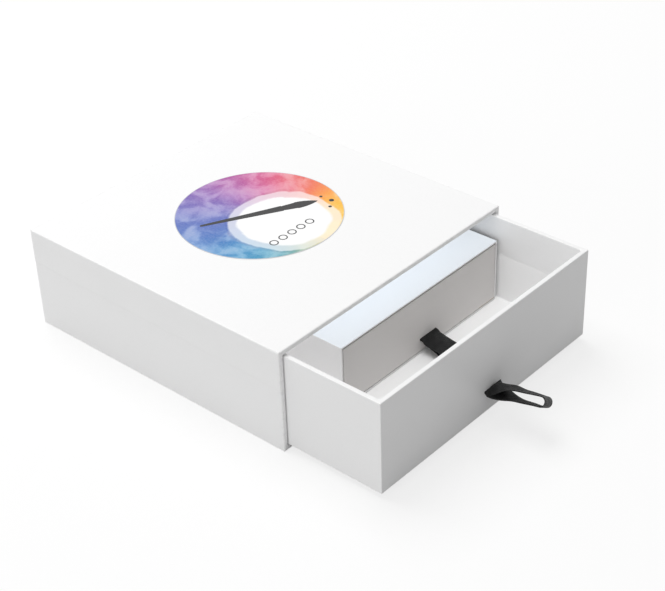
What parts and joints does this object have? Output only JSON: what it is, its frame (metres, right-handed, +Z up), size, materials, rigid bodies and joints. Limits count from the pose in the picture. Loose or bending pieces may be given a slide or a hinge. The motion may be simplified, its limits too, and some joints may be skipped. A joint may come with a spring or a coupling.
{
  "type": "drawer box",
  "caption": "Paper-wrapped board sleeve with a ribbon-pull drawer that holds a smaller sleeve and drawer of the same make.",
  "frame": {"origin": "centre of the large sleeve's underside, on the surface that the box stands on", "axes": "+Y from the drawer's front to the sleeve's back, +X to the right seen from the front, +Z up; both drawers open towards -Y"},
  "size_m": [0.1582, 0.2505, 0.0542],
  "materials": {
    "white_wrap": "smooth white coated wrap paper, slightly satin",
    "white_lining": "matt white lining paper",
    "grey_board": "matt grey board, hidden under the paper",
    "gummed_tape": "brown gummed paper tape, hidden under the wrap",
    "label_print": "printed sticker paper with a colour wash, satin",
    "black_ribbon": "black woven ribbon, slight sheen"
  },
  "bodies": {
    "sleeve": {"large_sleeve_top_board": "grey_board", "large_sleeve_bottom_board": "grey_board", "large_sleeve_left_board": "grey_board", "large_sleeve_right_board": "grey_board", "large_sleeve_back_board": "grey_board", "large_sleeve_wrap": "white_wrap", "large_sleeve_underside_wrap": "white_wrap", "large_sleeve_lining": "white_lining", "round_label": "label_print"},
    "drawer": {"large_drawer_base_board": "grey_board", "large_drawer_front_board": "grey_board", "large_drawer_back_board": "grey_board", "large_drawer_left_board": "grey_board", "large_drawer_right_board": "grey_board", "large_drawer_corner_stays": "gummed_tape", "large_drawer_wrap": "white_wrap", "large_drawer_lining": "white_lining", "large_drawer_ribbon_tails": "black_ribbon"},
    "drawer_pull": {"large_drawer_ribbon_loop": "black_ribbon"},
    "small_box": {"small_sleeve_top_board": "grey_board", "small_sleeve_bottom_board": "grey_board", "small_sleeve_left_board": "grey_board", "small_sleeve_right_board": "grey_board", "small_sleeve_back_board": "grey_board", "small_sleeve_wrap": "white_wrap", "small_sleeve_lining": "white_lining"},
    "small_drawer": {"small_drawer_base_board": "grey_board", "small_drawer_front_board": "grey_board", "small_drawer_back_board": "grey_board", "small_drawer_left_board": "grey_board", "small_drawer_right_board": "grey_board", "small_drawer_corner_stays": "gummed_tape", "small_drawer_wrap": "white_wrap", "small_drawer_lining": "white_lining", "small_drawer_ribbon_tails": "black_ribbon"},
    "small_pull": {"small_drawer_ribbon_loop": "black_ribbon"}
  },
  "joints": [
    {"name": "drawer_slide", "type": "slide", "parent": "sleeve", "child": "drawer", "axis": [0, -1, 0], "range_m": [-0.0537, 0.107]},
    {"name": "drawer_pull_bend", "type": "hinge", "parent": "drawer", "child": "drawer_pull", "pos_m": [0.0025, -0.1365, 0.0141], "axis": [-1, 0, 0], "range_deg": [-31, 65], "stiffness_Nm_per_rad": 0.001},
    {"name": "small_box_shift", "type": "slide", "parent": "drawer", "child": "small_box", "axis": [1, 0, 0], "range_m": [-0.029, 0.0018]},
    {"name": "small_drawer_slide", "type": "slide", "parent": "small_box", "child": "small_drawer", "axis": [0, -1, 0], "range_m": [0, 0.04], "deforming": ["small_drawer_ribbon_loop"]},
    {"name": "small_pull_bend", "type": "hinge", "parent": "small_drawer", "child": "small_pull", "pos_m": [0.0176, -0.0874, 0.0132], "axis": [-1, 0, 0], "range_deg": [-2, 90], "stiffness_Nm_per_rad": 0.0005}
  ]
}
